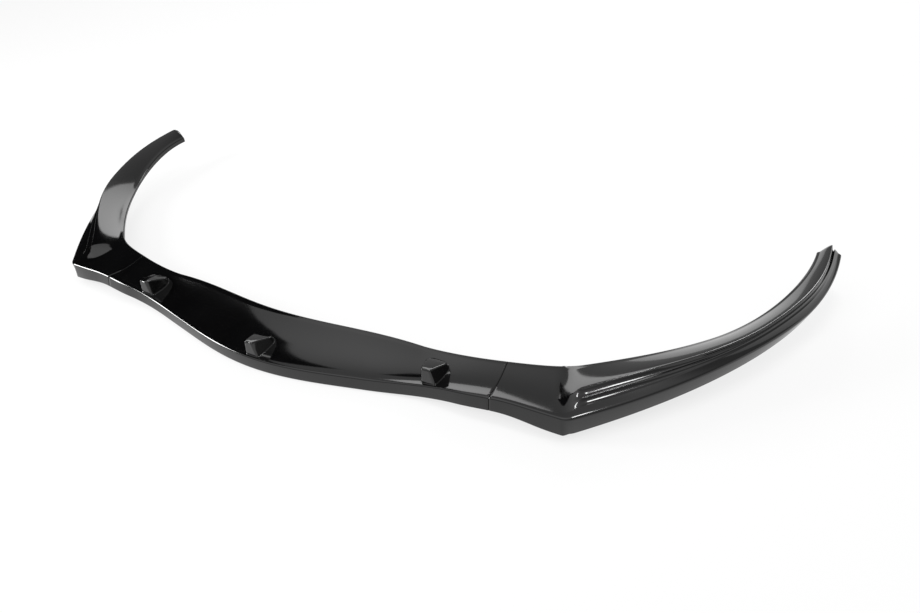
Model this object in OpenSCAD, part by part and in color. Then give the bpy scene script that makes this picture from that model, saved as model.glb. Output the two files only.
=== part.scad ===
// Front splitter lip of a saloon car. Three open shells, a centre section and two
// side sections, are moulded in gloss black plastic and bolted end to end through
// upright end walls behind the seams.
// +X is the car's left, -Y its front and +Z is up. The origin is on the middle
// plane, halfway along the lip from front to back, level with its lowest edge.
// A section line is a straight line in plan from the lip's outer edge to its rear
// edge. A profile is drawn along it as [distance from the outer edge, height].

/* [Plan] */
// Half width at the front corners, where their two edges would meet
corner_x = 641; // [620:1:670]
// Half width of the centre section at its front edge
seam_x = 498; // [470:1:530]
// Half width of the centre section at its rear edge
seam_rear_x = 483; // [455:1:515]
// How far the middle of the front edge stands ahead of the dip beside it
nose_reach = 63; // [40:1:80]
// Half width of that bulge
nose_half_w = 430; // [380:1:460]
// How far the dip beside the bulge lies ahead of the front corners
dip_reach = 8; // [0:1:16]
// Radius of the front corners seen from above
corner_r = 26; // [18:1:34]
// Angle that the lip turns through at each front corner
corner_turn = 46; // [40:1:52]
// Half width at the rear end of each arm
tip_x = 906; // [885:1:925]
// Distance from the front corners back to the rear end of the arms
tip_y = 561; // [540:1:580]
// Angle by which the arms turn inwards at their rear end
toe_in = 10; // [4:1:14]

/* [Heights] */
// Height of the top edge at the front corners
corner_edge_z = 48.5; // [44:0.5:54]
// Height of the top edge at the rear end of the arms
tip_edge_z = 85; // [80:1:89]
// Height of the lip's face along the front
face_h = 25; // [20:1:28]
// Height of the lip's face at the front corners
corner_face_h = 38; // [34:1:42]
// Height of the lip's lower edge at the rear end of the arms
tip_bottom_z = 61; // [57:1:65]

/* [Panel] */
// Depth of the panel from front to back in the middle
mid_panel_w = 105; // [95:1:120]
// Depth of the panel where the seams are
seam_panel_w = 88; // [80:1:100]
// Height of the panel's rear edge in the middle
mid_rear_z = 67; // [60:1:72]
// Height of the panel's rear edge at the seams
seam_rear_z = 54; // [50:1:58]
// How far the panel sags below a straight line from front to back
panel_sag = 4; // [0:0.5:7]

/* [Arms] */
// Width of an arm at its rear end
tip_w = 44; // [40:1:48]
// Height of the arm's crest where it starts behind the front corner
crest_start_z = 63; // [60:1:66]
// Height of the crest at the rear end of the arm
crest_end_z = 107; // [103:1:110]
// Distance from the lip's edge in to the crest where the crest starts
crest_start_in = 48; // [40:1:54]
// Distance from the lip's edge in to the crest where it comes nearest
crest_end_in = 7.5; // [7:0.5:11]
// Height of the small step at the crest
crest_step = 2.5; // [1:0.5:4]
// Height of that step at the rear end of the arm
tip_step = 12; // [8:0.5:14]
// Depth of the two flutes between the lip's edge and the crest
flute_d = 3; // [1:0.5:4]
// Height of the arm's inner edge at its lowest place
low_inner_z = 49.5; // [47:0.5:52]
// Height of the arm's inner edge at its rear end
tip_inner_z = 82; // [80:1:85]
// How much further in the crest bends at its very end
crest_tip_in = 11; // [6:1:12]
// Radius of the crest
crest_r = 4; // [2:0.5:5]
// How far the arm's end bulges behind its outer wall
tip_bulge = 5; // [0:1:7]

/* [Moulding] */
// Wall thickness
wall = 2.8; // [2.2:0.1:3.4]
// Radius of the lip's top edge
edge_r = 4; // [3.8:0.1:6]
// Radius of the panel's rear edge
rear_r = 4; // [3.8:0.1:6]
// Depth of the flange that turns down from the rear edge
flange_h = 12; // [9:1:16]
// Depth of that flange along the arms
arm_flange_h = 5; // [4.5:0.5:8]
// Depth of that flange at the rear end of the arms
tip_flange_h = 11.5; // [8:0.5:14]
// Width of the flange that turns in at the bottom of the lip's face
foot_w = 14; // [8:1:18]
// Width of that flange at the rear end of the arms
tip_foot_w = 7; // [6:1:9]

/* [Fins] */
// Distance of the outer fins from the middle
fin_x = 373; // [340:1:400]
// Height of a fin at its front face
fin_h = 31; // [24:1:36]
// Width of a fin's front face at its top
fin_top_w = 17; // [12:1:22]
// Width of a fin's front face at its foot
fin_foot_w = 33; // [28:1:40]
// Width of a fin's back, where its top runs out into the panel
fin_back_w = 50; // [40:1:56]
// Length of a fin
fin_len = 54; // [46:1:58]
// How far the back of an outer fin bears towards the middle
fin_lean = 6; // [0:1:10]
// Radius of a fin's front and top edges
fin_r = 3; // [1:0.5:4]
// Distance from the lip's edge back to a fin's front face
fin_setback = 6; // [5:1:10]

/* [Joints] */
// Width of the shut line between two sections
seam_gap = 0.8; // [0.4:0.1:1.2]
// Depth of the shut line, down to the end walls
seam_depth = 1.6; // [1:0.1:2]
// Thickness of each end wall
end_wall = 4; // [3:0.5:6]
// Diameter of the joint bolts
bolt_d = 6; // [5:1:6]
// Clearance of a bolt in its hole, on the diameter
bolt_play = 0.6; // [0.4:0.1:1]
// Length of a bolt under its head
bolt_len = 20; // [18:1:25]
// Distance from the lip's edge to the front bolt of a joint
bolt_in = 22; // [18:1:26]
// Distance between the two bolts of a joint
bolt_step = 38; // [30:1:44]
// Outer diameter of the washers
washer_d = 12; // [10:1:14]
// Thickness of the washers
washer_t = 1.6; // [1:0.1:2]
// Width of the bolts' heads and the nuts across their flats
hex_af = 10; // [9:0.5:11]
// Height of the bolts' heads
head_t = 4; // [3:0.5:5]
// Height of the nuts
nut_t = 5; // [4:0.5:6]

/* [Fixings] */
// Distance of the inner fixing tabs from the middle
inner_tab_x = 150; // [100:1:220]
// Width of a fixing tab
tab_w = 26; // [22:1:30]
// Thickness of a fixing tab
tab_t = 4; // [3.5:0.5:5]
// Distance from the rear flange down to the hole in a tab
tab_drop = 9; // [7:1:12]
// Diameter of the fixing holes
hole_d = 6.6; // [5:0.1:8]
// Distance from the arm's rear end forward to the fixing web in it
arch_web_in = 14; // [10:1:20]
// Distance of the hole in that web from the arm's inner edge
arch_hole_in = 13; // [12:0.5:14]
// Height of that hole
arch_hole_z = 77; // [76.5:0.5:77.5]

/* [Hidden] */
$fn = 48;

gloss_black = [0.03, 0.03, 0.032];
zinc = [0.72, 0.73, 0.75];

// Steps along the centre section, along the front of a side section, round its
// corner and along its arm
centre_steps = 34;
front_steps = 9;
corner_steps = 6;
arm_steps = 22;

function mix(a, b, t) = a + (b - a) * t;
function clip(t) = min(max(t, 0), 1);
function ease(t) = (1 - cos(180 * clip(t))) / 2;
function unit(v) = v / norm(v);
function bezier(p, t) =
    pow(1 - t, 3) * p[0] + 3 * t * pow(1 - t, 2) * p[1]
    + 3 * t * t * (1 - t) * p[2] + pow(t, 3) * p[3];

// Heights are worked out from the bottom of the front corners and the finished
// lip is lifted by this much, to stand on its lowest edge
lift = 11;
// The front corners lie at y = 0 in the working frame
corner_y = -4;

// The dip beside the bulge runs out over this length
dip_len = 120;
// The front edge in plan, from the middle to the corner
function front_y(x) =
    corner_y - dip_reach * (1 - ease((abs(x) - nose_half_w) / dip_len))
    - nose_reach * (1 - ease(abs(x) / nose_half_w));
// Height of the lip's top edge along the front, which rises over rise_len from the
// half width rise_x
rise_x = 245;
rise_len = 280;
function front_z(x) =
    mix(face_h, corner_edge_z, ease((abs(x) - rise_x) / rise_len)) - lift;
// The rear edge of the centre section in plan, which bends at the half width bend_x
bend_x = 330;
function rear_y(x) =
    front_y(0) + mid_panel_w
    + (front_y(seam_x) + seam_panel_w - front_y(0) - mid_panel_w)
      * (0.55 * ease(abs(x) / bend_x)
         + 0.45 * pow(clip((abs(x) - bend_x) / (seam_rear_x - bend_x)), 1.5));
function rear_z(x) =
    mix(mid_rear_z, seam_rear_z, ease(abs(x) / seam_x)) - lift;

// The corner is an arc, and these are the points where it leaves and meets the edges
corner_cut = corner_r * tan(corner_turn / 2);
arc_start = [corner_x - corner_cut, corner_y];
arc_centre = arc_start + [0, corner_r];
arm_dir = [cos(corner_turn), sin(corner_turn)];
arm_start = [corner_x, corner_y] + corner_cut * arm_dir;
arm_end = [tip_x, tip_y];

// The outer edge of the arm in plan
arm_handle = 230;
tip_handle = 184;
outer_path = [arm_start, arm_start + arm_handle * arm_dir,
              arm_end + tip_handle * [sin(toe_in), -cos(toe_in)], arm_end];
// The inner edge of the arm in plan, from where it would meet the rear edge
inner_start = [corner_x - 59, 109];
inner_handle = 182;
inner_dir = [0.8, 0.6];
inner_end = arm_end - [tip_w, 0];
inner_path = [inner_start, inner_start + inner_handle * inner_dir,
              inner_end + [24, -187], inner_end];
// The rear edge between the seam and the arm turns a soft corner, which ends at this
// share of the arm's inner edge
soft_end = 0.05;
seam_rear = [seam_rear_x, rear_y(seam_x)];
hip_end = bezier(inner_path, soft_end);
hip_path = [seam_rear, seam_rear + [33, 7], hip_end - 36 * inner_dir, hip_end];
// How much the rear edge swells between the seam and the arm
hip_swell = 1;

// The profile's outer part: bottom flange, face and rounded top edge
bottom_cut = 2.4;
function nose(e, h, under, foot) = concat(
    [[under + foot, e - h], [under + bottom_cut, e - h], [under, e - h + bottom_cut]],
    [for (a = [0:30:90]) [edge_r * (1 - cos(a)), e - edge_r * (1 - sin(a))]]);
// The profile's rear part: rounded rear edge and the flange that turns down
function tail(len, z, flange) = concat(
    [for (a = [90:-45:0]) [len - rear_r * (1 - cos(a)), z - rear_r * (1 - sin(a))]],
    [[len, z - flange]]);
// The panel between them, at the share v of its depth
function panel_point(v, e, len, z, sag) =
    [mix(edge_r, len - rear_r, v), mix(e, z, pow(v, 1.5)) - sag * sin(180 * v)];

// A profile offset inwards, each corner mitred
function seg_normal(p, i) =
    let (d = unit(p[i + 1] - p[i])) [d[1], -d[0]];
function inward(p, w) = [for (i = [0:len(p) - 1])
    let (n1 = seg_normal(p, max(i - 1, 0)), n2 = seg_normal(p, min(i, len(p) - 2)))
    p[i] + w[i] * (n1 + n2) / (1 + n1 * n2)];
function same(p, w) = [for (q = p) w];

// A profile stood up on its section line from point a to point b
function stand(a, b, p) =
    let (d = unit(b - a)) [for (q = p) [a[0] + d[0] * q[0], a[1] + d[1] * q[0], q[1]]];

// Centre section, at the distance x from the middle at the front edge. The face leans
// forward at its bottom by these lengths, in the middle and near the seams
face_lean = 3;
side_face_lean = 7;
function under_front(x) =
    -mix(face_lean, side_face_lean, ease((abs(x) - 300) / 200));
function centre_line(x) =
    [[x, front_y(x)], [x * seam_rear_x / seam_x, rear_y(x)]];
function centre_profile(x) =
    let (l = centre_line(x), len = norm(l[1] - l[0]), e = front_z(x), z = rear_z(x))
    concat(nose(e, face_h, under_front(x), foot_w),
           [for (i = [1:8]) panel_point(i / 9, e, len, z, panel_sag)],
           tail(len, z, flange_h));

// Side section, by a running number g: 0 at the seam, 1 and 2 at the two ends of
// the corner's arc, 3 at the rear end of the arm
function side_outer(g) =
    g < 1 ? let (x = mix(seam_x, arc_start[0], g)) [x, front_y(x)]
    : g < 2 ? arc_centre + corner_r * [sin(corner_turn * (g - 1)), -cos(corner_turn * (g - 1))]
    : bezier(outer_path, g - 2);
function side_inner(g) =
    g < 1 ? bezier(hip_path, 0.69 * g)
    : g < 2 ? bezier(hip_path, mix(0.69, 0.78, g - 1))
    : g < 2 + soft_end ? bezier(hip_path, mix(0.78, 1, (g - 2) / soft_end))
    : bezier(inner_path, g - 2);
arm_rise = 13;
function side_edge_z(g) =
    g < 1 ? front_z(mix(seam_x, arc_start[0], g))
    : g < 2 ? corner_edge_z - lift
    : corner_edge_z + arm_rise * (g - 2) - lift
      + (tip_edge_z - corner_edge_z - arm_rise) * pow(clip((g - 2.7) / 0.3), 1.7);
function side_rear_z(g) =
    (g < 2 ? seam_rear_z + hip_swell * sin(90 * g)
     : mix(seam_rear_z, low_inner_z, ease((g - 2) / 0.45))
       + (tip_inner_z - low_inner_z) * ease((g - 2.45) / 0.55)) - lift;
corner_bottom_z = corner_edge_z - corner_face_h;
function side_face_h(g) =
    g < 2 ? mix(face_h, corner_face_h, ease(g / 1.4))
    : side_edge_z(g) + lift
      - bezier([corner_bottom_z, corner_bottom_z + 11, tip_bottom_z - 30, tip_bottom_z], g - 2);
// The arm's face leans the other way, inwards at its bottom
arm_face_lean = 7;
tip_face_lean = 10;
function side_under(g) =
    g < 2 ? mix(under_front(seam_x), arm_face_lean, ease((g - 0.6) / 1.1))
    : mix(arm_face_lean, tip_face_lean, g - 2);
function side_foot(g) = mix(foot_w, tip_foot_w, clip(g - 1.5));
function side_flange(g) =
    g < 2.4 ? mix(flange_h, arm_flange_h, ease((g - 1) / 0.6))
    : mix(arm_flange_h, tip_flange_h, ease((g - 2.5) / 0.35));

// Crest of the arm: its distance from the outer edge and its height
function crest_in(t) =
    mix(crest_start_in, crest_end_in, ease(t / 0.55))
    + crest_tip_in * pow(clip((t - 0.7) / 0.3), 1.5);
function crest_z(t) = mix(crest_start_z, crest_end_z, t) - lift;
function end_step(t) = (tip_step - crest_step) * ease((t - 0.6) / 0.4);

// The arm's top from the lip's edge over a flat band, two flutes with a ridge
// between them and the rounded crest at the height cz, down to the inner edge
function arm_top(t, e, len, z, cz, flute, step) =
    let (cu = crest_in(t), rise = cz - e,
         settle = ease(t / 0.5),
         band = [mix(edge_r, cu, 0.37), e + mix(0.16, 0.46, settle) * rise],
         ridge = [mix(edge_r, cu, 0.65), e + mix(0.56, 0.72, settle) * rise],
         shoulder = [cu - 0.6 - 1.5 * ease((t - 0.8) / 0.2), cz - step],
         crest = [cu, cz],
         foot = [len - rear_r, z],
         slope = [for (v = [0.1:0.1:0.95])
             [mix(crest[0], foot[0], v), mix(foot[1], crest[1], pow(1 - v, 1.25))]],
         turn = min(crest_r, 0.6 * norm(crest - shoulder)),
         outside = crest + turn * unit(shoulder - crest),
         inside = crest + min(turn, 0.8 * norm(slope[0] - crest)) * unit(slope[0] - crest))
    concat(
        [mix([edge_r, e], band, 0.5), band],
        [for (i = [1:3]) mix(band, ridge, i / 4) - flute_dip(band, ridge, i / 4, flute)],
        [ridge],
        [for (i = [1:3]) mix(ridge, shoulder, i / 4) - flute_dip(ridge, shoulder, i / 4, flute)],
        [shoulder, outside, (outside + 2 * crest + inside) / 4, inside],
        slope);
function flute_dip(a, b, v, depth) =
    let (d = unit(b - a)) depth * sin(180 * v) * [-d[1], d[0]];
// The same number of points along the plain panel in front of the arm
function plain_top(e, len, z) =
    [for (i = [1:22]) panel_point(i < 11 ? 0.035 * i : i < 14 ? 0.35 + 0.02 * (i - 10)
                                  : mix(0.41, 1, (i - 13) / 10), e, len, z, panel_sag)];

// Running length of the lip's edge from the start of the corner's arc
function past_corner(g) =
    g < 1 ? (g - 1) * (arc_start[0] - seam_x)
    : g < 2 ? (g - 1) * corner_r * corner_turn * PI / 180
    : corner_r * corner_turn * PI / 180 + (g - 2) * 3 * arm_handle;
// The panel swells into the arm's form between these two running lengths
form_from = -12;
form_to = 56;

// The outer skin has the flutes and the step, with cut = 1. The skin inside it, with
// cut = 0, runs straight on below them
function side_profile(g, cut) =
    let (a = side_outer(g), b = side_inner(g), len = norm(b - a),
         e = side_edge_z(g), z = side_rear_z(g), t = clip(g - 2),
         form = ease((past_corner(g) - form_from) / (form_to - form_from)),
         start = ease((g - 2.02) / 0.035),
         flute = flute_d * start * (1 - 0.4 * ease((g - 2.2) / 0.3))
                 * (1 - ease((g - 2.68) / 0.2)),
         plain = plain_top(e, len, z),
         shaped = arm_top(t, e, len, z, crest_z(t) - (1 - cut) * end_step(t),
                          cut * flute, cut * (crest_step * start + end_step(t))))
    concat(nose(e, side_face_h(g), side_under(g), side_foot(g)),
           [for (i = [0:21]) mix(plain[i], shaped[i], form)],
           tail(len, z, side_flange(g)));

// The skin inside keeps its distance below every point of the top, so that it can't
// fold under the crest, and turns with the profile at both edges
function clear_below(p, w, i) = min([for (k = [6:29])
    let (d = abs(p[k][0] - p[i][0])) if (d < w[k]) p[k][1] - sqrt(w[k] * w[k] - d * d)]);
function side_inside(p, w) =
    let (q = inward(p, w))
    [for (i = [0:len(p) - 1]) i > 6 && i < 29 ? [p[i][0], clear_below(p, w, i)]
        : i < 7 && q[i][1] > p[1][1] + wall ? [min(q[i][0], p[7][0] - 0.1 * (7 - i)), q[i][1]]
        : q[i]];

// How far the arm's end is drawn back at each place, so that it bulges behind its
// outer wall
function draw_back(g, q) =
    let (u = mix(edge_r, crest_in(clip(g - 2)), 0.7))
    tip_bulge * sin(180 * pow(clip((q[0] - u) / (tip_w - u)), 0.6)) * pow(clip((g - 2.8) / 0.2), 2);
function side_ring(g, p) =
    let (a = side_outer(g), b = side_inner(g), s = stand(a, b, p))
    [for (i = [0:len(p) - 1]) s[i] + draw_back(g, p[i]) * [-sin(toe_in), cos(toe_in), 0]];

// A shell through a row of outer rings and a row of inner rings
function quad(a, b, c, d) = [[a, b, c], [a, c, d]];
module shell(outer, inner) {
    n = len(outer);
    m = len(outer[0]);
    o = function (i, j) i * m + j;
    s = function (i, j) (n + i) * m + j;
    skins = [for (i = [0:n - 2], j = [0:m - 2], q = concat(
        quad(o(i, j), o(i, j + 1), o(i + 1, j + 1), o(i + 1, j)),
        quad(s(i, j), s(i + 1, j), s(i + 1, j + 1), s(i, j + 1)))) q];
    rims = [for (i = [0:n - 2], q = concat(
        quad(o(i, 0), o(i + 1, 0), s(i + 1, 0), s(i, 0)),
        quad(o(i + 1, m - 1), o(i, m - 1), s(i, m - 1), s(i + 1, m - 1)))) q];
    ends = [for (j = [0:m - 2], q = concat(
        quad(o(0, j + 1), o(0, j), s(0, j), s(0, j + 1)),
        quad(o(n - 1, j), o(n - 1, j + 1), s(n - 1, j + 1), s(n - 1, j)))) q];
    points = [for (r = concat(outer, inner), p = r) p];
    polyhedron(points, concat(skins, rims, ends), convexity = 6);
}

// Places what stands in the section plane at a line from a to b. Its x runs along
// the line, its y is the height and its z leaves the plane
module in_section(a, b) {
    d = b - a;
    translate([a[0], a[1], 0]) rotate([90, 0, atan2(d[1], d[0])]) children();
}

seam_line = centre_line(seam_x);
seam_profile = centre_profile(seam_x);
wall_bottom = front_z(seam_x) - face_h + 1;
bolt_z = (wall_bottom + front_z(seam_x)) / 2 - 1;
bolt_places = [bolt_in, bolt_in + bolt_step];

// The end wall at a seam fills the profile, below the shut line
module end_wall_outline() {
    rim = inward(seam_profile, same(seam_profile, seam_depth));
    upper = [for (i = [2:len(rim) - 1]) rim[i]];
    polygon(concat(upper, [[rim[len(rim) - 1][0], wall_bottom], [rim[2][0], wall_bottom]]));
}
module bolt_holes(depth) {
    for (u = bolt_places)
        translate([u, bolt_z, -depth]) cylinder(d = bolt_d + bolt_play, h = 2 * depth);
}

// A tab below the rear flange at the distance x from the middle, with its hole
// level and pointing back
function tab_hole_z(z) = z - flange_h - tab_drop;
module fixing_tab(x, y, z) {
    translate([x, y - wall / 2 + tab_t / 2, tab_hole_z(z)]) rotate([90, 0, 0])
        linear_extrude(tab_t) {
            circle(d = tab_w);
            translate([-tab_w / 2, 0]) square([tab_w, tab_drop + flange_h / 3]);
        }
}
module fixing_hole(x, y, z) {
    translate([x, y + 20, tab_hole_z(z)]) rotate([90, 0, 0]) cylinder(d = hole_d, h = 40);
}

// A fin stands on the panel at x. Its top falls and widens to its back, where it
// runs out into the panel, and it is hollow underneath
function panel_z(x, y) =
    let (l = centre_line(x), len = norm(l[1] - l[0]),
         v = clip((y - l[0][1] - edge_r) / (len - edge_r - rear_r)))
    panel_point(v, front_z(x), len, rear_z(x), panel_sag)[1];
// A ring round a fin's section: up one side, over its rounded top and down the other
function fin_ring(x, y, foot, top, low, high, r) =
    let (h = high - low, slope = atan2((foot - top) / 2, h))
    concat([[x - foot / 2, y, low]],
           [for (side = [-1, 1], a = side < 0 ? [slope:30:90] : [90:-30:slope])
               [x + side * (top / 2 - r + r * cos(a)), y, high - min(r, h / 2) * (1 - sin(a))]],
           [[x + foot / 2, y, low]]);
module fin_body(x) {
    y0 = front_y(x) + fin_setback;
    y1 = y0 + fin_len;
    back = x - sign(x) * fin_lean;
    high = front_z(x) + fin_h;
    low = panel_z(x, y0) - wall / 2;
    run_out = panel_z(x, y1);
    rings = [
        fin_ring(x, y0, fin_foot_w - fin_r, fin_top_w - fin_r, low, high - fin_r / 2, fin_r),
        fin_ring(x, y0 + fin_r / 3, fin_foot_w - fin_r / 3, fin_top_w - fin_r / 3, low,
                 high - fin_r / 6, fin_r),
        fin_ring(x, y0 + fin_r, fin_foot_w, fin_top_w, low, high - fin_r / 15, fin_r),
        fin_ring(back, y1, fin_back_w, fin_back_w, run_out - wall, run_out, 0.1)];
    n = len(rings[0]);
    at = function (i, j) i * n + j % n;
    polyhedron([for (r = rings, p = r) p],
        concat([for (i = [0:2], j = [0:n - 1], q = quad(at(i, j), at(i + 1, j), at(i + 1, j + 1), at(i, j + 1))) q],
               [for (j = [1:n - 2]) [at(0, 0), at(0, j), at(0, j + 1)]],
               [for (j = [1:n - 2]) [at(3, 0), at(3, j + 1), at(3, j)]]));
}
// The hollow under a fin, open at the bottom
module fin_hollow(x) {
    y0 = front_y(x) + fin_setback + wall;
    y1 = front_y(x) + fin_setback + fin_len;
    back = x - sign(x) * fin_lean;
    rings = [
        fin_ring(x, y0, fin_foot_w - 2 * wall, fin_top_w - 2 * wall,
                 panel_z(x, y0) - 3 * wall, front_z(x) + fin_h - wall, 0.1),
        fin_ring(back, y1, fin_back_w - 2 * wall, fin_back_w - 2 * wall,
                 panel_z(x, y1) - 3 * wall, panel_z(x, y1) - wall, 0.1)];
    n = len(rings[0]);
    at = function (i, j) i * n + j % n;
    polyhedron([for (r = rings, p = r) p],
        concat([for (j = [0:n - 1], q = quad(at(0, j), at(1, j), at(1, j + 1), at(0, j + 1))) q],
               [for (j = [1:n - 2]) [at(0, 0), at(0, j), at(0, j + 1)]],
               [for (j = [1:n - 2]) [at(1, 0), at(1, j + 1), at(1, j)]]));
}
fin_places = [-fin_x, 0, fin_x];

// The origin lies halfway between the middle of the front and the arms' ends
y_shift = -(front_y(0) + under_front(0) + tip_y + tip_bulge * cos(toe_in)) / 2;
module lip_frame() {
    translate([0, y_shift, lift]) children();
}

module centre_section() {
    reach = seam_x - seam_gap / 2;
    stations = [for (i = [0:centre_steps]) mix(-reach, reach, i / centre_steps)];
    profiles = [for (x = stations) centre_profile(x)];
    color(gloss_black) lip_frame() difference() {
        union() {
            shell([for (i = [0:centre_steps])
                      let (l = centre_line(stations[i])) stand(l[0], l[1], profiles[i])],
                  [for (i = [0:centre_steps])
                      let (l = centre_line(stations[i]), p = profiles[i])
                      stand(l[0], l[1], inward(p, same(p, wall)))]);
            for (x = fin_places) fin_body(x);
            for (side = [0, 1]) mirror([side, 0, 0]) {
                in_section(seam_line[0], seam_line[1])
                    translate([0, 0, -end_wall]) linear_extrude(end_wall) end_wall_outline();
                fixing_tab(inner_tab_x, rear_y(inner_tab_x), rear_z(inner_tab_x));
            }
        }
        for (x = fin_places) fin_hollow(x);
        for (side = [0, 1]) mirror([side, 0, 0]) {
            in_section(seam_line[0], seam_line[1]) bolt_holes(20);
            fixing_hole(inner_tab_x, rear_y(inner_tab_x), rear_z(inner_tab_x));
        }
    }
}

// The wall is thicker by most of a flute's depth under the fluted band
function thickness(g) = [for (j = [0:32])
    wall + (j > 7 && j < 20 ? 1.1 * flute_d * ease((g - 2) / 0.06) : 0)];

// A web under the arm's inner slope near its rear end takes the screw at the wheel
// arch. It reaches half way into the walls that it joins
module arch_web() {
    g = 3 - arch_web_in / (3 * tip_handle);
    p = side_profile(g, 0);
    rim = side_inside(p, same(p, wall / 2));
    low = rim[32];
    in_section(side_outer(g), side_inner(g))
        linear_extrude(tab_t)
            polygon([rim[21], rim[25], rim[28], [low[0], rim[30][1]], low, [rim[21][0], low[1]]]);
}

module side_section() {
    gap_share = seam_gap / 2 / (arc_start[0] - seam_x);
    stations = concat(
        [for (i = [0:front_steps - 1]) mix(gap_share, 1, i / front_steps)],
        [for (i = [0:corner_steps - 1]) 1 + i / corner_steps],
        [2, 2.012, 2.025, 2.0375, 2.055, 2.07],
        [for (i = [2:arm_steps]) 2 + i / arm_steps]);
    outer = [for (g = stations) side_profile(g, 1)];
    plain = [for (g = stations) side_profile(g, 0)];
    n = len(stations) - 1;
    color(gloss_black) lip_frame() difference() {
        union() {
            shell([for (i = [0:n]) side_ring(stations[i], outer[i])],
                  [for (i = [0:n]) side_ring(stations[i], side_inside(plain[i], thickness(stations[i])))]);
            in_section(seam_line[0], seam_line[1]) linear_extrude(end_wall) end_wall_outline();
            arch_web();
        }
        in_section(seam_line[0], seam_line[1]) bolt_holes(20);
        translate([tip_x - tip_w + arch_hole_in, tip_y, arch_hole_z - lift])
            rotate([90, 0, 0]) cylinder(d = hole_d, h = 60, center = true);
    }
}
module left_section() {
    side_section();
}
module right_section() {
    mirror([1, 0, 0]) side_section();
}

// What goes through both end walls of each joint, the bolts' heads inside the
// centre section
module at_joints() {
    lip_frame() for (side = [0, 1]) mirror([side, 0, 0])
        in_section(seam_line[0], seam_line[1]) for (u = bolt_places)
            translate([u, bolt_z, 0]) children();
}
module hexagon(af) {
    circle(d = af / cos(30), $fn = 6);
}
module joint_bolts() {
    color(zinc) at_joints() translate([0, 0, -end_wall - washer_t]) {
        cylinder(d = bolt_d, h = bolt_len);
        translate([0, 0, -head_t]) linear_extrude(head_t) hexagon(hex_af);
    }
}
module joint_washers() {
    color(zinc) at_joints() for (z = [-end_wall - washer_t, end_wall])
        translate([0, 0, z]) difference() {
            cylinder(d = washer_d, h = washer_t);
            translate([0, 0, -1]) cylinder(d = bolt_d + 0.4, h = washer_t + 2);
        }
}
module joint_nuts() {
    color(zinc) at_joints() translate([0, 0, end_wall + washer_t]) difference() {
        linear_extrude(nut_t) hexagon(hex_af);
        translate([0, 0, -1]) cylinder(d = bolt_d + 0.2, h = nut_t + 2);
    }
}

centre_section();
left_section();
right_section();
joint_bolts();
joint_washers();
joint_nuts();
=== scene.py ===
import math

import bpy
import numpy as np
from mathutils import Matrix, Vector


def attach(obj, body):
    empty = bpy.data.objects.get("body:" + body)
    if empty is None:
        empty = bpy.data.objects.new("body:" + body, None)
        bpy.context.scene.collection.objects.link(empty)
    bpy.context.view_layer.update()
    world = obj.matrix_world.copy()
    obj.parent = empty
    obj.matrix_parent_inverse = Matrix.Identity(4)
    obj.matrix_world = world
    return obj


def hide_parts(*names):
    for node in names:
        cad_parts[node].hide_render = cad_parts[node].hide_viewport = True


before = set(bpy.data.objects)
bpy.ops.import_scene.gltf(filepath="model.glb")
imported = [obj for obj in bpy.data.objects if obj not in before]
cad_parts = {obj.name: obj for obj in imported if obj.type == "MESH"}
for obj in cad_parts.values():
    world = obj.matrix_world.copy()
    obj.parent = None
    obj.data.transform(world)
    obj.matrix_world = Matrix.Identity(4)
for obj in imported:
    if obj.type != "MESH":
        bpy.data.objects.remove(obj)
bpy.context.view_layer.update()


# The centre section is one injection moulding, open underneath. Its front edge bulges
# forward in the middle, its panel rises and dishes a little to the rear edge, and a
# flange turns down there and another turns in at the bottom of its face.

# Seen from above: the two edges, the bulge between the dips, and the panel's depth
seam_x = 498
seam_rear_x = 483
corner_y = -4
nose_reach = 63
nose_half_w = 430
dip_reach = 8
dip_len = 120
mid_panel_w = 105
seam_panel_w = 88
bend_x = 330

# Heights above the ground. The drawing board's own zero lies that lift above it
lift = 11
corner_edge_z = 48.5
rise_x = 245
rise_len = 280
mid_rear_z = 67
seam_rear_z = 54
y_shift = -243.962

# The section: sag of the panel, wall, face, flanges, lean of the face, and its radii
panel_sag = 4
wall = 2.8
face_h = 25
foot_w = 14
flange_h = 12
face_lean = 3
seam_face_lean = 7
rim_w = 4
bottom_r = 2.4
edge_r = 6.5
rear_r = 4
inside_bottom_r = 0.4
inside_r = 1.2
half_gap = 0.4
sharp_from = math.radians(50)


def ease(t):
    """From 0 to 1, slow at both ends."""
    return (1 - math.cos(math.pi * min(max(t, 0.0), 1.0))) / 2


def mix(a, b, t):
    """The share t of the way from a to b."""
    return a + (b - a) * t


def front_y(x):
    dip = dip_reach * (1 - ease((abs(x) - nose_half_w) / dip_len))
    return corner_y - dip - nose_reach * (1 - ease(abs(x) / nose_half_w))


def front_z(x):
    return mix(face_h, corner_edge_z, ease((abs(x) - rise_x) / rise_len)) - lift


def rear_y(x):
    middle = front_y(0) + mid_panel_w
    fall = front_y(seam_x) + seam_panel_w - middle
    bent = (max(abs(x) - bend_x, 0) / (seam_rear_x - bend_x)) ** 1.5
    return middle + fall * (0.55 * ease(abs(x) / bend_x) + 0.45 * bent)


def rear_z(x):
    return mix(mid_rear_z, seam_rear_z, ease(abs(x) / seam_x)) - lift


def placed(points):
    """From the drawing board to the lip's own place, in metres."""
    return (np.asarray(points, float) + (0, y_shift, lift)) * 0.001


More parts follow.
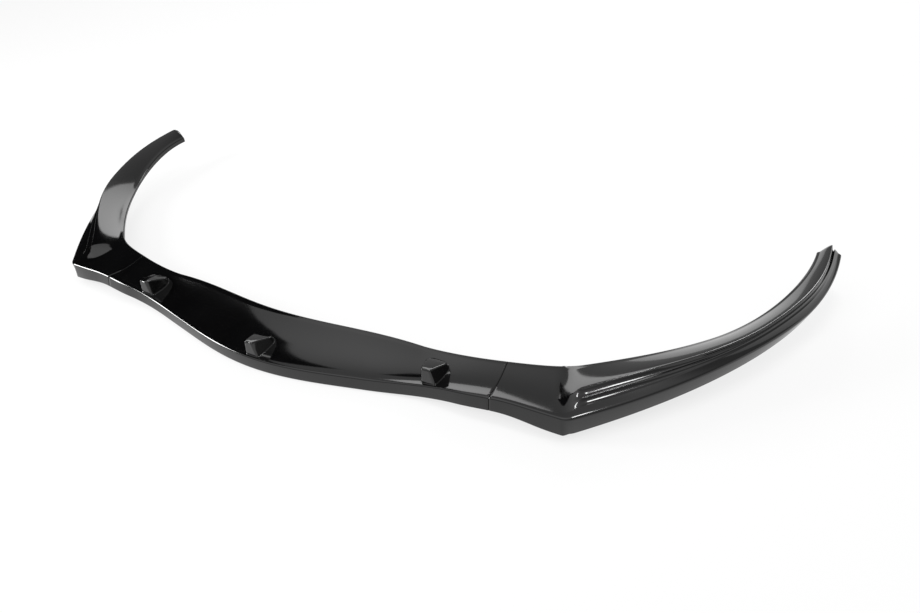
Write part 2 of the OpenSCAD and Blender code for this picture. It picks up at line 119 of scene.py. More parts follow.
def rounded(corners, radii, steps=6):
    """A row of points with each corner that has a radius turned into an arc."""
    line = []
    last = len(corners) - 1
    for i, (corner, radius) in enumerate(zip(corners, radii)):
        if radius <= 0 or i in (0, last):
            line.append(corner)
            continue
        before = corners[i - 1] - corner
        after = corners[i + 1] - corner
        before_len = np.linalg.norm(before)
        after_len = np.linalg.norm(after)
        before = before / before_len
        after = after / after_len
        half = math.acos(max(-0.9999, min(0.9999, float(before @ after)))) / 2
        run = min(radius / math.tan(half), 0.46 * before_len, 0.46 * after_len)
        a = corner + before * run
        b = corner + after * run
        middle = before + after
        if np.linalg.norm(middle) < 1e-6:
            line.extend(mix(a, b, k / steps) for k in range(steps + 1))
            continue
        centre_of_arc = corner + middle / np.linalg.norm(middle) * run / math.cos(half)
        arc_r = run * math.tan(half)
        for k in range(steps + 1):
            p = mix(a, b, k / steps) - centre_of_arc
            line.append(centre_of_arc + p / np.linalg.norm(p) * arc_r)
    return np.array(line)


def drawn_in(corners, depth):
    """A profile moved inwards by the wall, each corner mitred."""
    ways = np.diff(corners, axis=0)
    ways = ways / np.linalg.norm(ways, axis=1)[:, None]
    normals = np.stack([ways[:, 1], -ways[:, 0]], 1)
    first = np.vstack([normals[:1], normals])
    second = np.vstack([normals, normals[-1:]])
    share = (first + second) / (1 + (first * second).sum(1))[:, None]
    return corners + share * depth


def stood_up(a, b, profile):
    """A profile of distances and heights stood on its section line from a to b."""
    way = (np.array(b) - np.array(a)) / math.dist(a, b)
    return np.column_stack([a[0] + way[0] * profile[:, 0], a[1] + way[1] * profile[:, 0],
                            profile[:, 1]])


class Moulding:
    """The faces of one moulding, gathered piece by piece."""

    def __init__(self):
        self.points = []
        self.faces = []

    def add(self, points, faces):
        start = len(self.points)
        self.points.extend(map(tuple, points))
        self.faces.extend(tuple(start + i for i in face) for face in faces)

    def add_shell(self, outer, inner):
        """A closed wall between two skins, each a row of rings of points."""
        rows = len(outer)
        across = len(outer[0])
        base = rows * across
        faces = []
        for i in range(rows - 1):
            for j in range(across - 1):
                a = i * across + j
                b = a + across
                faces.append((a, b, b + 1, a + 1))
                faces.append((base + a, base + a + 1, base + b + 1, base + b))
            a = i * across
            b = a + across
            faces.append((a, base + a, base + b, b))
            faces.append((a + across - 1, b + across - 1, base + b + across - 1, base + a + across - 1))
        for j in range(across - 1):
            faces.append((j, j + 1, base + j + 1, base + j))
            e = (rows - 1) * across + j
            faces.append((e + 1, e, base + e, base + e + 1))
        self.add(placed(np.concatenate([*outer, *inner])), faces)

    def mirrored(self):
        other = Moulding()
        other.points = [(-x, y, z) for x, y, z in self.points]
        other.faces = [tuple(reversed(face)) for face in self.faces]
        return other

    def made(self, name, material):
        mesh = bpy.data.meshes.new(name)
        mesh.from_pydata(self.points, [], self.faces)
        mesh.validate()
        mesh.polygons.foreach_set("use_smooth", [True] * len(mesh.polygons))
        mesh.set_sharp_from_angle(angle=sharp_from)
        mesh.materials.append(material)
        piece = bpy.data.objects.new(name, mesh)
        bpy.context.scene.collection.objects.link(piece)
        return piece


def nose_corners(edge, face, under, foot):
    """Bottom flange, bottom corner and top edge of the lip's face."""
    return [(under + foot, edge - face), (under, edge - face), (0.0, edge)]


def panel_corners(shares, edge, length, rear):
    return [(mix(rim_w, length - rim_w, v),
             mix(edge, rear, v ** 1.5) - panel_sag * math.sin(math.pi * v)) for v in shares]


def centre_line(x):
    return (x, front_y(x)), (x * seam_rear_x / seam_x, rear_y(x))


panel_shares = np.arange(1, 25) / 25


def centre_corners(x):
    length = math.dist(*centre_line(x))
    edge = front_z(x)
    rear = rear_z(x)
    under = -mix(face_lean, seam_face_lean, ease((abs(x) - 300) / 200))
    return np.array(nose_corners(edge, face_h, under, foot_w)
                    + panel_corners(panel_shares, edge, length, rear)
                    + [(length, rear), (length, rear - flange_h)])


centre_radii = [0, bottom_r, edge_r, *[0] * len(panel_shares), rear_r, 0]
centre_radii_inside = [0, inside_bottom_r, inside_r, *[0] * len(panel_shares), inside_r, 0]
centre = Moulding()
reach = seam_x - half_gap
centre_outer = []
centre_inner = []
for x in (-reach, 0.7 - reach, *np.linspace(5 - reach, reach - 5, 190), reach - 0.7, reach):
    corners = centre_corners(x)
    inside = drawn_in(corners, wall)
    centre_outer.append(stood_up(*centre_line(x), rounded(corners, centre_radii)))
    centre_inner.append(stood_up(*centre_line(x), rounded(inside, centre_radii_inside)))
for end in (0, -1):
    centre_outer[end] = mix(centre_outer[end], centre_inner[end], 0.25)
centre.add_shell(centre_outer, centre_inner)

# Its three fins are moulded with it. Each has an upright front face, narrower at its
# top, and its top falls and widens to run out into the panel behind.
fin_x = 373
fin_setback = 6
fin_len = 50
fin_h = 31.5
fin_lean = 6
fin_run_out = 6
fin_foot_half_w = 15.5
fin_foot_back_half_w = 25
fin_top_half_w = 9
fin_top_back_half_w = 23
fin_top_short = 1.5
fin_foot_radii = [4.5, 4.5, 11, 11]
fin_top_radii = [3.5, 3.5, 10, 10]
fin_spine_in = (8, 16)
fin_middle_in = (10, 20)
fin_skirt = 4
fin_sink = 0.35
fin_edge_r = 3.2


def panel_height(x, y):
    """Height of the panel at a place, found by closing in on its section line."""
    at = x
    for _ in range(4):
        a, b = centre_line(at)
        share = (y - a[1]) / (b[1] - a[1])
        at = x / (1 - share * (seam_x - seam_rear_x) / seam_x)
    a, b = centre_line(at)
    length = math.dist(a, b)
    along = (y - a[1]) * length / (b[1] - a[1])
    v = min(max((along - rim_w) / (length - 2 * rim_w), 0), 1)
    return panel_corners([v], front_z(at), length, rear_z(at))[0][1]


def fin_outline(corners, radii, along=7):
    """A closed outline with rounded corners and the same count of points each time."""
    corners = [np.array(c, float) for c in corners]
    line = []
    for i, corner in enumerate(corners):
        before = corners[i - 1]
        after = corners[(i + 1) % len(corners)]
        arc = rounded([before, corner, after], [0, radii[i], 0], 7)[1:-1]
        line.extend(arc)
        following = corners[(i + 2) % len(corners)]
        end = rounded([corner, after, following], [0, radii[(i + 1) % len(corners)], 0], 7)[1]
        line.extend(mix(arc[-1], end, k / along) for k in range(1, along))
    return np.array(line)


def add_fin(x):
    front = front_y(x) + fin_setback
    back = front + fin_len
    back_x = x - (math.copysign(fin_lean, x) if x else 0)
    top = front_z(x) + fin_h
    run_out = panel_height(back_x, back) + fin_run_out
    foot = fin_outline([(x - fin_foot_half_w, front), (x + fin_foot_half_w, front),
                        (back_x + fin_foot_back_half_w, back), (back_x - fin_foot_back_half_w, back)],
                       fin_foot_radii)
    end = back - fin_top_short
    rim = fin_outline([(x - fin_top_half_w, front), (x + fin_top_half_w, front),
                       (back_x + fin_top_back_half_w, end), (back_x - fin_top_back_half_w, end)],
                      fin_top_radii)
    spine_start = np.array([x, front + fin_spine_in[0]])
    spine_end = np.array([back_x, back - fin_spine_in[1]])
    rows = []
    for f, r in zip(foot, rim):
        low = np.array([*f, panel_height(*f)])
        share = max(r[1] - front, 0) / fin_len
        high = np.array([*r, mix(top, run_out, share ** 1.3)])
        along_spine = min(max((r[1] - spine_start[1]) / (spine_end[1] - spine_start[1]), 0), 1)
        spine = mix(spine_start, spine_end, along_spine)
        spine_share = (spine[1] - front) / fin_len
        ridge = np.array([*spine, mix(top, run_out, spine_share ** 1.3)])
        middle = np.array([mix(x, back_x, share),
                           mix(front + fin_middle_in[0], back - fin_middle_in[1], share)])
        away = np.array([*(f - middle), 0.0])
        outside = low + away / np.linalg.norm(away) * fin_skirt
        on_panel = max(outside[1], front_y(x) + rim_w + 0.2)
        outside[2] = panel_height(outside[0], on_panel) - fin_sink
        turn = min(fin_edge_r, 0.45 * (high[2] - low[2]))
        rows.append(rounded([outside, low - (0, 0, fin_sink), high, ridge], [0, turn, turn, 0], 5))
    across = len(rows[0])
    faces = []
    for i in range(len(rows)):
        for j in range(across - 1):
            a = i * across + j
            b = (i + 1) % len(rows) * across + j
            faces.append((a, b, b + 1, a + 1))
    centre.add(placed(np.concatenate(rows)), faces)


for x in (-fin_x, 0, fin_x):
    add_fin(x)

# Behind each seam stands an end wall with two bolt holes, moulded with its section,
# and two tabs with screw holes hang from the centre section's rear flange.
end_wall_t = 4
seam_depth = 1.7
bolt_in = 22
bolt_step = 38
hole_r = 3.3
tab_x = 150
tab_half_w = 13
tab_t = 4
tab_drop = 9


def add_plate(moulding, corners, holes, thick, place, mirror=False):
    """A flat plate with round holes, cut from an outline and stood where it belongs."""
    drawing = bpy.data.curves.new("drawing", "CURVE")
    drawing.dimensions = "2D"
    drawing.fill_mode = "BOTH"
    drawing.extrude = thick / 2
    rings = [list(corners)]
    for cx, cy in holes:
        rings.append([(cx + hole_r * math.cos(a), cy + hole_r * math.sin(a))
                      for a in np.linspace(0, 2 * math.pi, 40, endpoint=False)])
    for ring in rings:
        spline = drawing.splines.new("POLY")
        spline.points.add(len(ring) - 1)
        for point, (px, py) in zip(spline.points, ring):
            point.co = (px, py, 0, 1)
        spline.use_cyclic_u = True
    sheet = bpy.data.objects.new("drawing", drawing)
    bpy.context.scene.collection.objects.link(sheet)
    bpy.context.view_layer.update()
    solid = sheet.evaluated_get(bpy.context.evaluated_depsgraph_get()).to_mesh()
    points = [place @ v.co for v in solid.vertices]
    points = placed([(-p.x if mirror else p.x, p.y, p.z) for p in points])
    faces = [tuple(f.vertices) for f in solid.polygons]
    if mirror:
        faces = [tuple(reversed(f)) for f in faces]
    bpy.data.objects.remove(sheet)
    bpy.data.curves.remove(drawing)
    moulding.add(points, faces)


def in_section(a, b, leaving):
    """Where a plate stands in the section from a to b, that far out of its plane."""
    angle = math.atan2(b[1] - a[1], b[0] - a[0])
    return (Matrix.Translation((a[0], a[1], 0)) @ Matrix.Rotation(angle, 4, "Z")
            @ Matrix.Rotation(math.pi / 2, 4, "X") @ Matrix.Translation((0, 0, leaving)))


seam_line = centre_line(seam_x)
seam_rim = drawn_in(centre_corners(seam_x), seam_depth)
wall_bottom = front_z(seam_x) - face_h + 1
bolt_z = (wall_bottom + front_z(seam_x)) / 2 - 1
bolt_places = [(bolt_in, bolt_z), (bolt_in + bolt_step, bolt_z)]
end_wall = [*map(tuple, seam_rim[2:]), (seam_rim[-1][0], wall_bottom), (seam_rim[1][0], wall_bottom)]
tab = [(-tab_half_w, tab_half_w)] + [(tab_half_w * math.cos(a), tab_half_w * math.sin(a))
                                     for a in np.linspace(math.pi, 2 * math.pi, 24)]
tab.append((tab_half_w, tab_half_w))
tab_z = rear_z(tab_x) - flange_h - tab_drop
tab_place = (Matrix.Translation((tab_x, rear_y(tab_x) - wall / 2, tab_z))
             @ Matrix.Rotation(math.pi / 2, 4, "X"))
for mirror in (False, True):
    add_plate(centre, end_wall, bolt_places, end_wall_t,
              in_section(*seam_line, -end_wall_t / 2), mirror)
    add_plate(centre, tab, [(0, 0)], tab_t, tab_place, mirror)

# The plastic is nearly black. A very faint waviness from the mould and a fine grain in
# its polish break up what its gloss mirrors.
black_plastic = bpy.data.materials.new("gloss_black_plastic")
black_plastic.use_nodes = True
black_nodes = black_plastic.node_tree.nodes
black_links = black_plastic.node_tree.links
black_shader = black_nodes["Principled BSDF"]
black_shader.inputs["IOR"].default_value = 1.54
black_place = black_nodes.new("ShaderNodeTexCoord")
mould_waves = black_nodes.new("ShaderNodeTexNoise")
mould_waves.inputs["Scale"].default_value = 14.0
mould_waves.inputs["Detail"].default_value = 2.0
polish_grain = black_nodes.new("ShaderNodeTexNoise")
polish_grain.inputs["Scale"].default_value = 420.0
polish_grain.inputs["Detail"].default_value = 3.0
black_tint = black_nodes.new("ShaderNodeValToRGB")
black_tint.color_ramp.elements[0].color = (0.0012, 0.0012, 0.0013, 1.0)
black_tint.color_ramp.elements[1].color = (0.0030, 0.0030, 0.0032, 1.0)
polish_range = black_nodes.new("ShaderNodeMapRange")
polish_range.inputs["To Min"].default_value = 0.055
polish_range.inputs["To Max"].default_value = 0.115
wave_bump = black_nodes.new("ShaderNodeBump")
wave_bump.inputs["Strength"].default_value = 0.08
wave_bump.inputs["Distance"].default_value = 0.0012
grain_bump = black_nodes.new("ShaderNodeBump")
grain_bump.inputs["Strength"].default_value = 0.03
grain_bump.inputs["Distance"].default_value = 0.0002
for texture in (mould_waves, polish_grain):
    black_links.new(black_place.outputs["Object"], texture.inputs["Vector"])
black_links.new(mould_waves.outputs["Fac"], black_tint.inputs["Fac"])
black_links.new(black_tint.outputs["Color"], black_shader.inputs["Base Color"])
black_links.new(polish_grain.outputs["Fac"], polish_range.inputs["Value"])
black_links.new(polish_range.outputs["Result"], black_shader.inputs["Roughness"])
black_links.new(mould_waves.outputs["Fac"], wave_bump.inputs["Height"])
black_links.new(polish_grain.outputs["Fac"], grain_bump.inputs["Height"])
black_links.new(wave_bump.outputs["Normal"], grain_bump.inputs["Normal"])
black_links.new(grain_bump.outputs["Normal"], black_shader.inputs["Normal"])

centre_piece = centre.made("centre_moulding", black_plastic)
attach(centre_piece, "root")
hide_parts("centre_section")


# Each side section is one moulding of the same plastic. Past the seam its face grows
# deeper to the front corner, and there the panel turns up into an arm that sweeps out
# and back with a flat band, two flutes and a crest, and ends in a small step.

# A place along it is g: 0 at the seam, 1 and 2 where the corner's arc starts and ends,
# and 3 at the arm's end. Along the arm alone, t is g less 2.
corner_x = 641
corner_r = 26
corner_turn = math.radians(46)
tip_x = 906
tip_y = 561
toe_in = math.radians(10)
tip_w = 44
arm_handle = 230
tip_handle = 184
inner_handle = 182
hip_share = 0.69
corner_hip_share = 0.78
soft_end = 0.05

# Heights of its edges and crest, how far in the crest lies, and its step and flutes
arm_rise = 13
tip_rise = 23.5
low_inner_z = 49.5
tip_inner_z = 82
hip_swell = 1
crest_start_z = 63
crest_end_z = 106
crest_end_drop = 7
crest_start_in = 48
crest_near_in = 7.5
crest_tip_in = 11
crest_step = 2.5
tip_step = 12
flute_depth = 3
flute_wall = 3.3
tip_bulge = 5

# Its face, flanges and lean, from the corner to the arm's end
corner_face_h = 38
arm_bottom_z = [10.5, 21.5, 31, 61]
arm_face_lean = 7
tip_face_lean = 10
tip_foot_w = 7
arm_flange_h = 5
tip_flange_h = 11.5
arm_run = 690
form_from = -20
form_len = 66

corner_cut = corner_r * math.tan(corner_turn / 2)
arc_start = np.array([corner_x - corner_cut, corner_y])
arc_centre = arc_start + (0, corner_r)
arm_way = np.array([math.cos(corner_turn), math.sin(corner_turn)])
arm_start = np.array([corner_x, corner_y]) + corner_cut * arm_way
arm_end = np.array([tip_x, tip_y], float)
outer_path = [arm_start, arm_start + arm_handle * arm_way,
              arm_end + tip_handle * np.array([math.sin(toe_in), -math.cos(toe_in)]), arm_end]
inner_way = np.array([0.8, 0.6])
inner_start = np.array([582.0, 109.0])
inner_end = arm_end - (tip_w, 0)
inner_path = [inner_start, inner_start + inner_handle * inner_way, inner_end + (24, -187), inner_end]


def bezier(p, t):
    return (1 - t) ** 3 * p[0] + 3 * t * (1 - t) ** 2 * p[1] + 3 * t * t * (1 - t) * p[2] + t ** 3 * p[3]


seam_rear = np.array([seam_rear_x, rear_y(seam_x)])
hip_end = bezier(inner_path, soft_end)
hip_path = [seam_rear, seam_rear + (33, 7), hip_end - 36 * inner_way, hip_end]


def side_outer(g):
    if g < 1:
        x = mix(seam_x, arc_start[0], g)
        return np.array([x, front_y(x)])
    if g < 2:
        turn = corner_turn * (g - 1)
        return arc_centre + corner_r * np.array([math.sin(turn), -math.cos(turn)])
    return bezier(outer_path, g - 2)


def side_inner(g):
    if g < 1:
        return bezier(hip_path, hip_share * g)
    if g < 2:
        return bezier(hip_path, mix(hip_share, corner_hip_share, g - 1))
    if g < 2 + soft_end:
        return bezier(hip_path, mix(corner_hip_share, 1, (g - 2) / soft_end))
    return bezier(inner_path, g - 2)


def side_edge(g):
    if g < 1:
        return front_z(mix(seam_x, arc_start[0], g))
    t = max(g - 2, 0)
    return corner_edge_z - lift + arm_rise * t + tip_rise * max((t - 0.7) / 0.3, 0) ** 1.7


def side_rear(g):
    seam_z = seam_rear_z - lift
    if g < 2:
        return seam_z + hip_swell * math.sin(math.pi / 2 * g)
    fall = mix(seam_z, low_inner_z - lift, ease((g - 2) / 0.45))
    return fall + (tip_inner_z - low_inner_z) * ease((g - 2.45) / 0.55)


def side_face(g):
    if g < 2:
        return mix(face_h, corner_face_h, ease(g / 1.4))
    return side_edge(g) + lift - bezier(arm_bottom_z, g - 2)


def side_under(g):
    if g < 2:
        return mix(-seam_face_lean, arm_face_lean, ease((g - 0.6) / 1.1))
    return mix(arm_face_lean, tip_face_lean, g - 2)


def side_flange(g):
    if g < 2.4:
        return mix(flange_h, arm_flange_h, ease((g - 1) / 0.6))
    return mix(arm_flange_h, tip_flange_h, ease((g - 2.5) / 0.35))


def crest_in(t):
    near = mix(crest_start_in, crest_near_in, ease(t / 0.55))
    return near + crest_tip_in * max((t - 0.7) / 0.3, 0) ** 1.5


def crest_height(t):
    drop = crest_end_drop * max((t - 0.98) / 0.02, 0) ** 2
    return mix(crest_start_z, crest_end_z, t) - lift - drop


def end_step(t):
    return (tip_step - crest_step) * ease((t - 0.6) / 0.4)


flute_shares = np.arange(1, 8) / 8
slope_shares = np.arange(1, 15) / 15


def flute(a, b, depth):
    """The points of a hollow between two edges."""
    way = (b - a) / np.linalg.norm(b - a)
    down = np.array([way[1], -way[0]])
    return [mix(a, b, v) + depth * math.sin(math.pi * v) * down for v in flute_shares]


def arm_corners(t, edge, length, rear, top, depth, step):
    """The arm's top: a flat band, two flutes with a ridge between, crest and slope."""
    across = crest_in(t)
    rise = top - edge
    settle = ease(t / 0.5)
    band = np.array([mix(rim_w, across, 0.37), edge + mix(0.16, 0.46, settle) * rise])
    ridge = np.array([mix(rim_w, across, 0.65), edge + mix(0.56, 0.72, settle) * rise])
    shoulder = np.array([across - 0.6 - 1.5 * ease((t - 0.8) / 0.2), top - step])
    crest = np.array([across, top])
    slope = [np.array([mix(across, length - rim_w, v), mix(top, rear, v ** 1.25)])
             for v in slope_shares]
    return ([mix(np.array([rim_w, edge]), band, 0.5), band, *flute(band, ridge, depth), ridge,
             *flute(ridge, shoulder, depth), shoulder, crest, *slope])


# The same count of points spread over the flat panel before the arm's form starts
plain_shares = [0.035, 0.07, *(0.07 + 0.14 * flute_shares), 0.21, *(0.21 + 0.14 * flute_shares),
                0.35, 0.385, *(0.385 + 0.615 * slope_shares)]


def past_corner(g):
    """Running length of the lip's edge from where its front corner starts to turn."""
    arc = corner_r * corner_turn
    if g < 1:
        return (g - 1) * (arc_start[0] - seam_x)
    if g < 2:
        return (g - 1) * arc
    return arc + (g - 2) * arm_run


def side_corners(g, cut):
    """The profile at g: cut is 1 on the outer skin and 0 on the skin inside."""
    length = math.dist(side_outer(g), side_inner(g))
    edge = side_edge(g)
    rear = side_rear(g)
    t = min(max(g - 2, 0), 1)
    form = ease((past_corner(g) - form_from) / form_len)
    start = ease((g - 2) / 0.04)
    depth = flute_depth * start * (1 - 0.4 * ease((g - 2.2) / 0.3)) * (1 - ease((g - 2.68) / 0.2))
    plain = panel_corners(plain_shares, edge, length, rear)
    shaped = arm_corners(t, edge, length, rear, crest_height(t) - (1 - cut) * end_step(t),
                         cut * depth, cut * (crest_step * start + end_step(t)))
    top = [mix(np.array(p), s, form) for p, s in zip(plain, shaped)]
    foot = mix(foot_w, tip_foot_w, min(max(g - 1.5, 0), 1))
    return np.array([*nose_corners(edge, side_face(g), side_under(g), foot), *top,
                     (length, rear), (length, rear - side_flange(g))])


band_to_crest = slice(4, 22)


def skin_inside(g):
    """The skin inside stays a wall below every point of the top, and never folds."""
    corners = side_corners(g, 0)
    deep = np.full(len(corners), wall)
    deep[band_to_crest] += flute_wall * ease((g - 2) / 0.06)
    inside = drawn_in(corners, wall)
    inside[2, 0] = min(inside[2, 0], corners[3, 0] - 0.1)
    for i in range(3, len(corners) - 2):
        apart = np.abs(corners[3:-2, 0] - corners[i, 0])
        near = apart < deep[3:-2]
        reach_down = corners[3:-2, 1][near] - np.sqrt(deep[3:-2][near] ** 2 - apart[near] ** 2)
        inside[i] = (corners[i, 0], reach_down.min())
    return inside


def section_ring(g, profile):
    """A profile in its place at g. The arm's end bulges behind its outer wall."""
    late = max((g - 2.8) / 0.2, 0) ** 2
    start = mix(rim_w, crest_in(max(g - 2, 0)), 0.7)
    ring = stood_up(side_outer(g), side_inner(g), profile)
    for i, (u, _) in enumerate(profile):
        share = min(max((u - start) / (tip_w - start), 0), 1)
        back = tip_bulge * math.sin(math.pi * share ** 0.6) * late
        ring[i, :2] += back * np.array([-math.sin(toe_in), math.cos(toe_in)])
    return ring


side_radii = [0, bottom_r, edge_r, 0, 2.5, *[0] * 7, 0.9, *[0] * 7, 0.7, 6, *[0] * 14, rear_r, 0]
side_radii_inside = [0, inside_bottom_r, inside_r, 0, 0.3, *[0] * 7, 0.3, *[0] * 7, 0.3, 0.3,
                     *[0] * 14, inside_r, 0]
side = Moulding()
gap_share = half_gap / (arc_start[0] - seam_x)
running = [gap_share, gap_share + 0.005, *np.linspace(gap_share + 0.03, 1, 34),
           *np.linspace(1, 2, 22)[1:], *np.linspace(2, 2.06, 13)[1:],
           *np.linspace(2.06, 2.98, 116)[1:], *np.linspace(2.98, 3, 8)[1:-1], 2.9985, 3.0]
side_outer_rings = [section_ring(g, rounded(side_corners(g, 1), side_radii, 5)) for g in running]
side_inner_rings = [section_ring(g, rounded(skin_inside(g), side_radii_inside, 5)) for g in running]
for end in (0, -1):
    side_outer_rings[end] = mix(side_outer_rings[end], side_inner_rings[end], 0.25)
side.add_shell(side_outer_rings, side_inner_rings)
add_plate(side, end_wall, bolt_places, end_wall_t, in_section(*seam_line, end_wall_t / 2))

# A web with a screw hole closes the arm a little ahead of its end
web_t = 4
web_in = 14
web_hole_x = 875
web_hole_z = 77
web_g = 3 - web_in / (3 * tip_handle)
web_rim = drawn_in(side_corners(web_g, 0), 1.5)
web_top = [tuple(web_rim[i]) for i in (22, 28, 34)]
web_low = web_rim[-1]
web = [*web_top, (web_low[0], web_low[1] + 8), tuple(web_low), (web_top[0][0], web_low[1])]
web_hole = (side_outer(web_g)[0] - web_hole_x, web_hole_z - lift)
add_plate(side, web, [web_hole], web_t, in_section(side_outer(web_g), side_inner(web_g), web_t / 2))

left_piece = side.made("left_moulding", black_plastic)
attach(left_piece, "root")
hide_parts("left_section")

right_piece = side.mirrored().made("right_moulding", black_plastic)
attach(right_piece, "root")
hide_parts("right_section")


# The bolts, washers and nuts hold the end walls together at the seams. They are
# pressed and rolled from steel and zinc-plated, and the plating is slightly cloudy.
zinc = bpy.data.materials.new("zinc_plating")
zinc.use_nodes = True
zinc_nodes = zinc.node_tree.nodes
zinc_links = zinc.node_tree.links
zinc_shader = zinc_nodes["Principled BSDF"]
zinc_shader.inputs["Metallic"].default_value = 1.0
zinc_place = zinc_nodes.new("ShaderNodeTexCoord")
zinc_cloud = zinc_nodes.new("ShaderNodeTexNoise")
zinc_cloud.inputs["Scale"].default_value = 260.0
zinc_cloud.inputs["Detail"].default_value = 4.0
zinc_tint = zinc_nodes.new("ShaderNodeValToRGB")
zinc_tint.color_ramp.elements[0].color = (0.50, 0.51, 0.53, 1.0)
zinc_tint.color_ramp.elements[1].color = (0.72, 0.72, 0.70, 1.0)
zinc_rough = zinc_nodes.new("ShaderNodeMapRange")
zinc_rough.inputs["To Min"].default_value = 0.26
zinc_rough.inputs["To Max"].default_value = 0.42
zinc_bump = zinc_nodes.new("ShaderNodeBump")
zinc_bump.inputs["Strength"].default_value = 0.1
zinc_bump.inputs["Distance"].default_value = 0.0002
zinc_links.new(zinc_place.outputs["Object"], zinc_cloud.inputs["Vector"])
zinc_links.new(zinc_cloud.outputs["Fac"], zinc_tint.inputs["Fac"])
zinc_links.new(zinc_cloud.outputs["Fac"], zinc_rough.inputs["Value"])
zinc_links.new(zinc_cloud.outputs["Fac"], zinc_bump.inputs["Height"])
zinc_links.new(zinc_tint.outputs["Color"], zinc_shader.inputs["Base Color"])
zinc_links.new(zinc_rough.outputs["Result"], zinc_shader.inputs["Roughness"])
zinc_links.new(zinc_bump.outputs["Normal"], zinc_shader.inputs["Normal"])
for name in ("joint_bolts", "joint_washers", "joint_nuts"):
    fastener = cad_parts[name]
    if not fastener.material_slots:
        fastener.data.materials.append(zinc)
    for place in fastener.material_slots:
        place.material = zinc


# The studio has a white floor that runs out of sight. It glows enough to read as
# white in the picture and in the gloss, and still takes the lip's shadow.
floor_half_w = 20.0
floor_glow_share = 0.75
floor_mesh = bpy.data.meshes.new("studio_floor")
floor_mesh.from_pydata([(-floor_half_w, -floor_half_w, 0), (floor_half_w, -floor_half_w, 0),
                        (floor_half_w, floor_half_w, 0), (-floor_half_w, floor_half_w, 0)], [],
                       [(0, 1, 2, 3)])
studio_floor = bpy.data.objects.new("studio_floor", floor_mesh)
studio_floor.location.z = -0.0006
bpy.context.scene.collection.objects.link(studio_floor)
floor_paint = bpy.data.materials.new("white_floor_paint")
floor_paint.use_nodes = True
floor_nodes = floor_paint.node_tree.nodes
floor_links = floor_paint.node_tree.links
floor_nodes.clear()
floor_matt = floor_nodes.new("ShaderNodeBsdfDiffuse")
floor_matt.inputs["Color"].default_value = (0.86, 0.86, 0.86, 1.0)
floor_glow = floor_nodes.new("ShaderNodeEmission")
floor_glow.inputs["Strength"].default_value = 1.0
floor_mix = floor_nodes.new("ShaderNodeMixShader")
floor_path = floor_nodes.new("ShaderNodeLightPath")
seen_or_mirrored = floor_nodes.new("ShaderNodeMath")
seen_or_mirrored.operation = "MAXIMUM"
seen_in_any_way = floor_nodes.new("ShaderNodeMath")
seen_in_any_way.operation = "MAXIMUM"
floor_fade = floor_nodes.new("ShaderNodeMath")
floor_fade.operation = "MULTIPLY"
floor_fade.inputs[1].default_value = floor_glow_share
floor_out = floor_nodes.new("ShaderNodeOutputMaterial")
floor_links.new(floor_path.outputs["Is Camera Ray"], seen_or_mirrored.inputs[0])
floor_links.new(floor_path.outputs["Is Glossy Ray"], seen_or_mirrored.inputs[1])
floor_links.new(seen_or_mirrored.outputs[0], seen_in_any_way.inputs[0])
floor_links.new(floor_path.outputs["Is Transmission Ray"], seen_in_any_way.inputs[1])
floor_links.new(seen_in_any_way.outputs[0], floor_fade.inputs[0])
floor_links.new(floor_fade.outputs[0], floor_mix.inputs[0])
floor_links.new(floor_matt.outputs[0], floor_mix.inputs[1])
floor_links.new(floor_glow.outputs[0], floor_mix.inputs[2])
floor_links.new(floor_mix.outputs[0], floor_out.inputs["Surface"])
floor_mesh.materials.append(floor_paint)


# The walls and ceiling are the world. They look white, and light the lip softly from
# all round, most of all from the ceiling a little ahead of it and to the car's right.
room_level = 0.5
ceiling_level = 1.5
ceiling_way = (-0.15, -0.25, 0.95)
ceiling_falloff = 4.0
world = bpy.data.worlds.new("white_room")
bpy.context.scene.world = world
world.use_nodes = True
world_nodes = world.node_tree.nodes
world_links = world.node_tree.links
world_nodes.clear()
room_way = world_nodes.new("ShaderNodeTexCoord")
towards_ceiling = world_nodes.new("ShaderNodeVectorMath")
towards_ceiling.operation = "DOT_PRODUCT"
towards_ceiling.inputs[1].default_value = ceiling_way
above_floor = world_nodes.new("ShaderNodeMath")
above_floor.operation = "MAXIMUM"
above_floor.inputs[1].default_value = 0.0
ceiling = world_nodes.new("ShaderNodeMath")
ceiling.operation = "POWER"
ceiling.inputs[1].default_value = ceiling_falloff
level = world_nodes.new("ShaderNodeMath")
level.operation = "MULTIPLY_ADD"
level.inputs[1].default_value = ceiling_level
level.inputs[2].default_value = room_level
room_light = world_nodes.new("ShaderNodeBackground")
room_seen = world_nodes.new("ShaderNodeBackground")
room_seen.inputs["Color"].default_value = (1.0, 1.0, 1.0, 1.0)
room_seen.inputs["Strength"].default_value = 1.0
room_path = world_nodes.new("ShaderNodeLightPath")
room_looked_at = world_nodes.new("ShaderNodeMath")
room_looked_at.operation = "MAXIMUM"
room_mix = world_nodes.new("ShaderNodeMixShader")
room_out = world_nodes.new("ShaderNodeOutputWorld")
world_links.new(room_way.outputs["Generated"], towards_ceiling.inputs[0])
world_links.new(towards_ceiling.outputs["Value"], above_floor.inputs[0])
world_links.new(above_floor.outputs[0], ceiling.inputs[0])
world_links.new(ceiling.outputs[0], level.inputs[0])
world_links.new(level.outputs[0], room_light.inputs["Strength"])
world_links.new(room_path.outputs["Is Camera Ray"], room_looked_at.inputs[0])
world_links.new(room_path.outputs["Is Transmission Ray"], room_looked_at.inputs[1])
world_links.new(room_looked_at.outputs[0], room_mix.inputs[0])
world_links.new(room_light.outputs[0], room_mix.inputs[1])
world_links.new(room_seen.outputs[0], room_mix.inputs[2])
world_links.new(room_mix.outputs[0], room_out.inputs["Surface"])


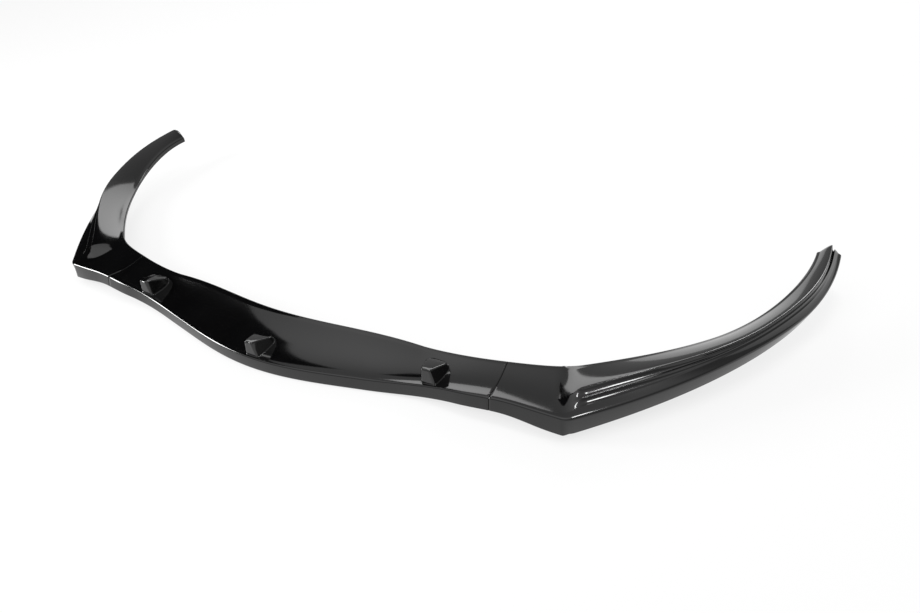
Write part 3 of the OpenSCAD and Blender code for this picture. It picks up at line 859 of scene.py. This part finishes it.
# Four softboxes draw the light lines on the gloss. The first gives the thin bright
# line along the front edge, the next two light the inner slopes of the arms from
# behind, and the strip overhead gives the lines along the crest and flutes.
def softbox(name, place, aim, width, height, watts):
    lamp = bpy.data.lights.new(name, "AREA")
    lamp.shape = "RECTANGLE"
    lamp.size = width
    lamp.size_y = height
    lamp.energy = watts
    stand = bpy.data.objects.new(name, lamp)
    bpy.context.scene.collection.objects.link(stand)
    stand.location = place
    stand.rotation_mode = "QUATERNION"
    stand.rotation_quaternion = (Vector(aim) - Vector(place)).to_track_quat("-Z", "Y")


softbox("front_softbox", (-2.35, -1.35, 0.85), (-0.3, -0.3, 0.0), 0.6, 1.3, 62)
softbox("rear_softbox", (-2.2, 2.7, 1.95), (-0.8, 0.1, 1.3), 3.0, 0.9, 19)
softbox("arm_softbox", (-0.3, 2.6, 1.5), (0.75, 0.3, 0.0), 0.55, 0.95, 13)
softbox("overhead_strip", (0.86, 0.12, 2.2), (0.66, -0.1, 0.0), 1.1, 0.12, 11)


# A black cloth hangs at the car's right. The panel mirrors it on that side, which
# gives it the deep black that ends in a sharp edge near the middle.
cloth_x = -2.6
cloth_mesh = bpy.data.meshes.new("black_cloth")
cloth_mesh.from_pydata([(cloth_x, -1.1, 0.0), (cloth_x, 1.6, 0.0), (cloth_x, 1.6, 3.6),
                        (cloth_x, -0.8, 3.6), (cloth_x, -1.1, 2.9)], [], [(0, 1, 2, 3, 4)])
black_cloth = bpy.data.objects.new("black_cloth", cloth_mesh)
bpy.context.scene.collection.objects.link(black_cloth)
black_cloth.visible_camera = False
black_cloth.visible_diffuse = False
black_cloth.visible_shadow = False
cloth_black = bpy.data.materials.new("black_velvet")
cloth_black.use_nodes = True
cloth_shader = cloth_black.node_tree.nodes["Principled BSDF"]
cloth_shader.inputs["Base Color"].default_value = (0.004, 0.004, 0.004, 1.0)
cloth_shader.inputs["Roughness"].default_value = 1.0
cloth_shader.inputs["Specular IOR Level"].default_value = 0.0
cloth_mesh.materials.append(cloth_black)


# The lip is photographed from ahead and above, from the car's left, with the camera
# rolled a little to one side.
picture_w = 920
lens_to_picture = 900
camera_right = Vector((0.8295320, 0.5430289, -0.1303697))
camera_up = Vector((-0.2179521, 0.5297325, 0.8196831))
camera_back = Vector((0.5141727, -0.6515390, 0.5577844))
camera_place = Vector((1.18926, -1.16399, 1.00456))
camera_data = bpy.data.cameras.new("camera")
camera_data.sensor_width = 36.0
camera_data.lens = lens_to_picture / picture_w * camera_data.sensor_width
camera_data.clip_end = 60.0
camera = bpy.data.objects.new("camera", camera_data)
bpy.context.scene.collection.objects.link(camera)
camera.matrix_world = Matrix((
    (camera_right.x, camera_up.x, camera_back.x, camera_place.x),
    (camera_right.y, camera_up.y, camera_back.y, camera_place.y),
    (camera_right.z, camera_up.z, camera_back.z, camera_place.z),
    (0.0, 0.0, 0.0, 1.0)))
bpy.context.scene.camera = camera
bpy.context.scene.view_settings.view_transform = "Standard"
